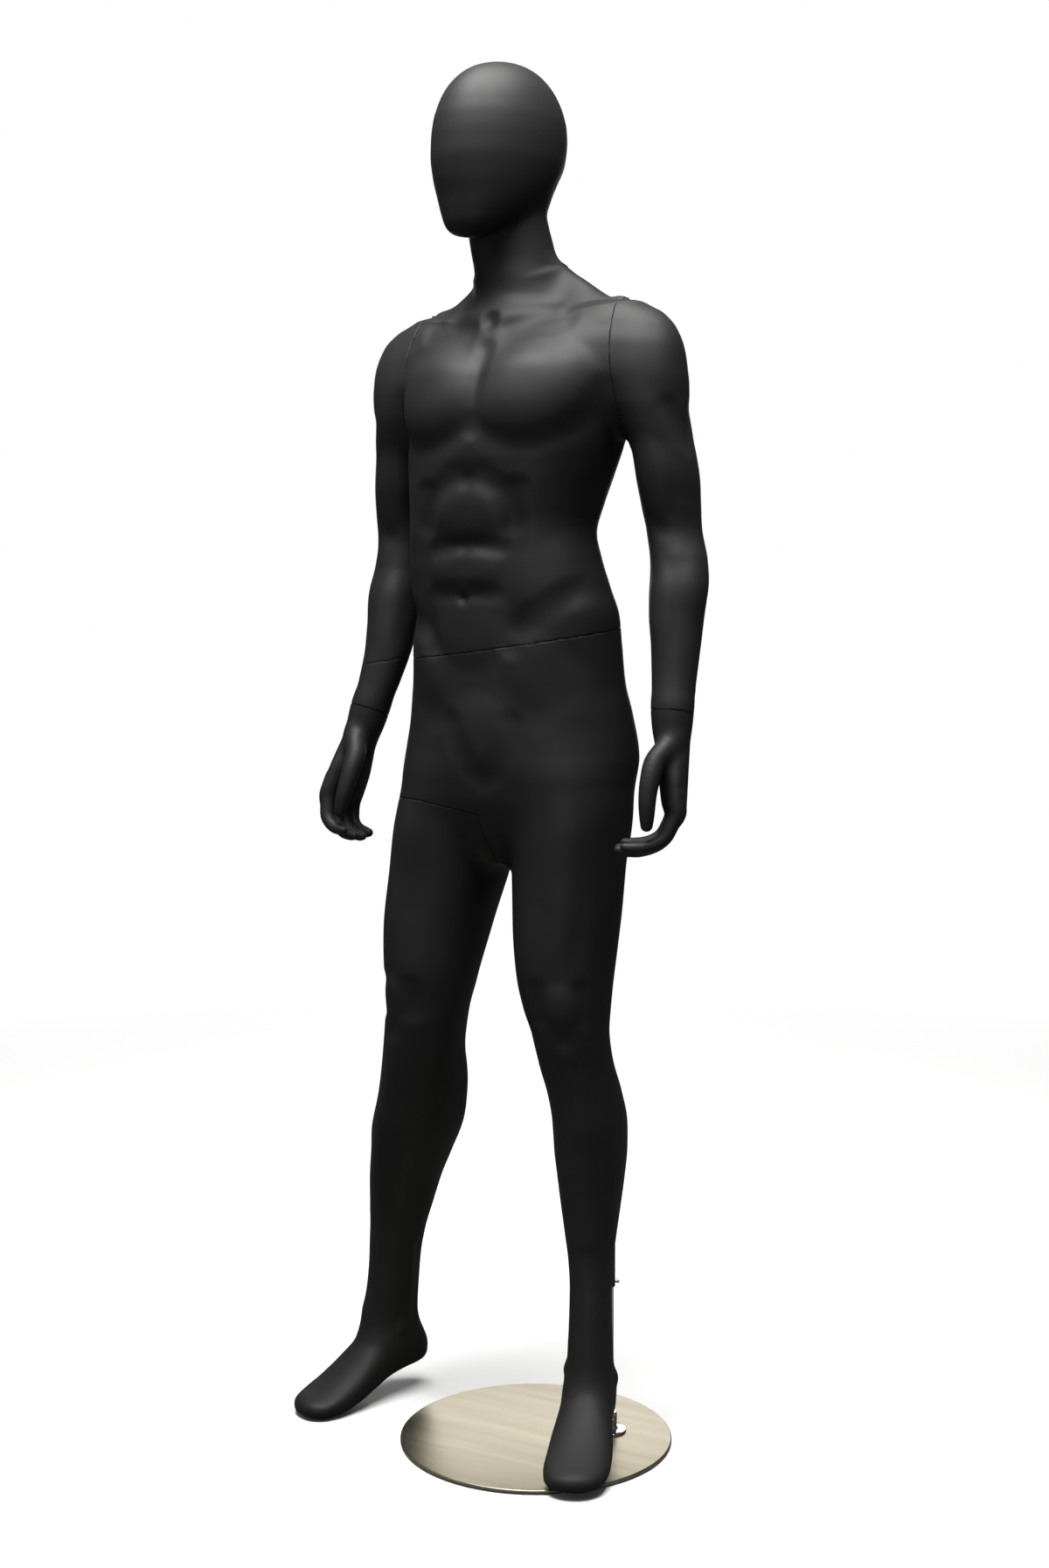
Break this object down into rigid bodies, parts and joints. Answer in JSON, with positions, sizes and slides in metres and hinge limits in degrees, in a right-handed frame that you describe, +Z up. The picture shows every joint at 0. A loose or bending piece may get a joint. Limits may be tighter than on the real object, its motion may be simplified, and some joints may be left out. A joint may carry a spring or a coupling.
{
  "type": "full body mannequin",
  "caption": "Faceless male display mannequin in matte black, striding pose, with separable torso, arms, hands and leg, on a round steel stand with a calf rod.",
  "frame": {"origin": "centre of the round stand's underside, on the floor", "axes": "+Z up, the figure faces -Y, its left side is +X"},
  "size_m": [0.6083, 0.38, 1.8885],
  "materials": {
    "matte_black": "matte sprayed lacquer on fibreglass",
    "board_wood": "raw board",
    "brushed_steel": "straight brushed",
    "chrome": "polished",
    "zinc_fittings": "zinc plated",
    "socket_black": "black",
    "pad_rubber": "matt"
  },
  "bodies": {
    "stand": {"base_plate": "brushed_steel", "base_pad": "pad_rubber", "base_collar": "chrome", "base_bolt": "zinc_fittings"},
    "base_screw": {"base_set_screw": "zinc_fittings"},
    "rod": {"support_rod": "chrome"},
    "lower_body": {"lower_body_shell": "matte_black", "waist_lower_board": "board_wood", "waist_lock_plate": "zinc_fittings", "thigh_socket_board": "board_wood", "thigh_socket_plate": "zinc_fittings", "calf_block": "board_wood", "calf_socket": "socket_black"},
    "calf_screw": {"calf_set_screw": "zinc_fittings"},
    "right_leg": {"right_leg_shell": "matte_black", "right_leg_board": "board_wood", "right_leg_peg": "zinc_fittings"},
    "upper_body": {"upper_body_shell": "matte_black", "waist_upper_board": "board_wood", "waist_lock_stud": "zinc_fittings", "left_shoulder_board": "board_wood", "left_shoulder_lock_plate": "zinc_fittings", "right_shoulder_board": "board_wood", "right_shoulder_lock_plate": "zinc_fittings"},
    "left_arm": {"left_arm_shell": "matte_black", "left_arm_board": "board_wood", "left_shoulder_lock_stud": "zinc_fittings", "left_forearm_board": "board_wood", "left_wrist_lock_plate": "zinc_fittings"},
    "right_arm": {"right_arm_shell": "matte_black", "right_arm_board": "board_wood", "right_shoulder_lock_stud": "zinc_fittings", "right_forearm_board": "board_wood", "right_wrist_lock_plate": "zinc_fittings"},
    "left_hand": {"left_hand": "matte_black", "left_wrist_lock_stud": "zinc_fittings"},
    "right_hand": {"right_hand": "matte_black", "right_wrist_lock_stud": "zinc_fittings"}
  },
  "joints": [
    {"name": "rod_turn", "type": "hinge", "parent": "stand", "child": "rod", "pos_m": [0.0836, 0.0621, 0.02], "axis": [0, 0, 1], "range_deg": [-15, 15]},
    {"name": "figure_lift", "type": "slide", "parent": "rod", "child": "lower_body", "axis": [0, 0, 1], "range_m": [0, 0.15]},
    {"name": "waist_twist", "type": "hinge", "parent": "lower_body", "child": "upper_body", "pos_m": [-0.037, 0, 1.114], "axis": [-0.1126, -0.1077, 0.9878], "range_deg": [-12, 12]},
    {"name": "left_arm_turn", "type": "hinge", "parent": "upper_body", "child": "left_arm", "pos_m": [0.136, 0.008, 1.49], "axis": [0.9946, 0.0298, 0.0995], "range_deg": [-35, 8]},
    {"name": "right_arm_turn", "type": "hinge", "parent": "upper_body", "child": "right_arm", "pos_m": [-0.176, 0.008, 1.49], "axis": [-0.9946, 0.0298, 0.0995], "range_deg": [-2, 35]},
    {"name": "left_hand_turn", "type": "hinge", "parent": "left_arm", "child": "left_hand", "pos_m": [0.219, -0.026, 1.024], "axis": [-0.0196, -0.1961, -0.9804], "range_deg": [-25, 25]},
    {"name": "right_hand_turn", "type": "hinge", "parent": "right_arm", "child": "right_hand", "pos_m": [-0.25, -0.036, 1.02], "axis": [-0.2087, -0.2372, -0.9488], "range_deg": [-25, 25]},
    {"name": "right_leg_slide", "type": "slide", "parent": "lower_body", "child": "right_leg", "axis": [-0.1515, -0.284, -0.9468], "range_m": [0, 0.035]},
    {"name": "base_screw_turn", "type": "hinge", "parent": "stand", "child": "base_screw", "pos_m": [0.0836, 0.0621, 0.024], "axis": [0.809, -0.5878, 0], "range_deg": [0, 360]},
    {"name": "calf_screw_turn", "type": "hinge", "parent": "lower_body", "child": "calf_screw", "pos_m": [0.0836, 0.0621, 0.221], "axis": [0.809, 0.5878, 0], "range_deg": [0, 360]}
  ]
}
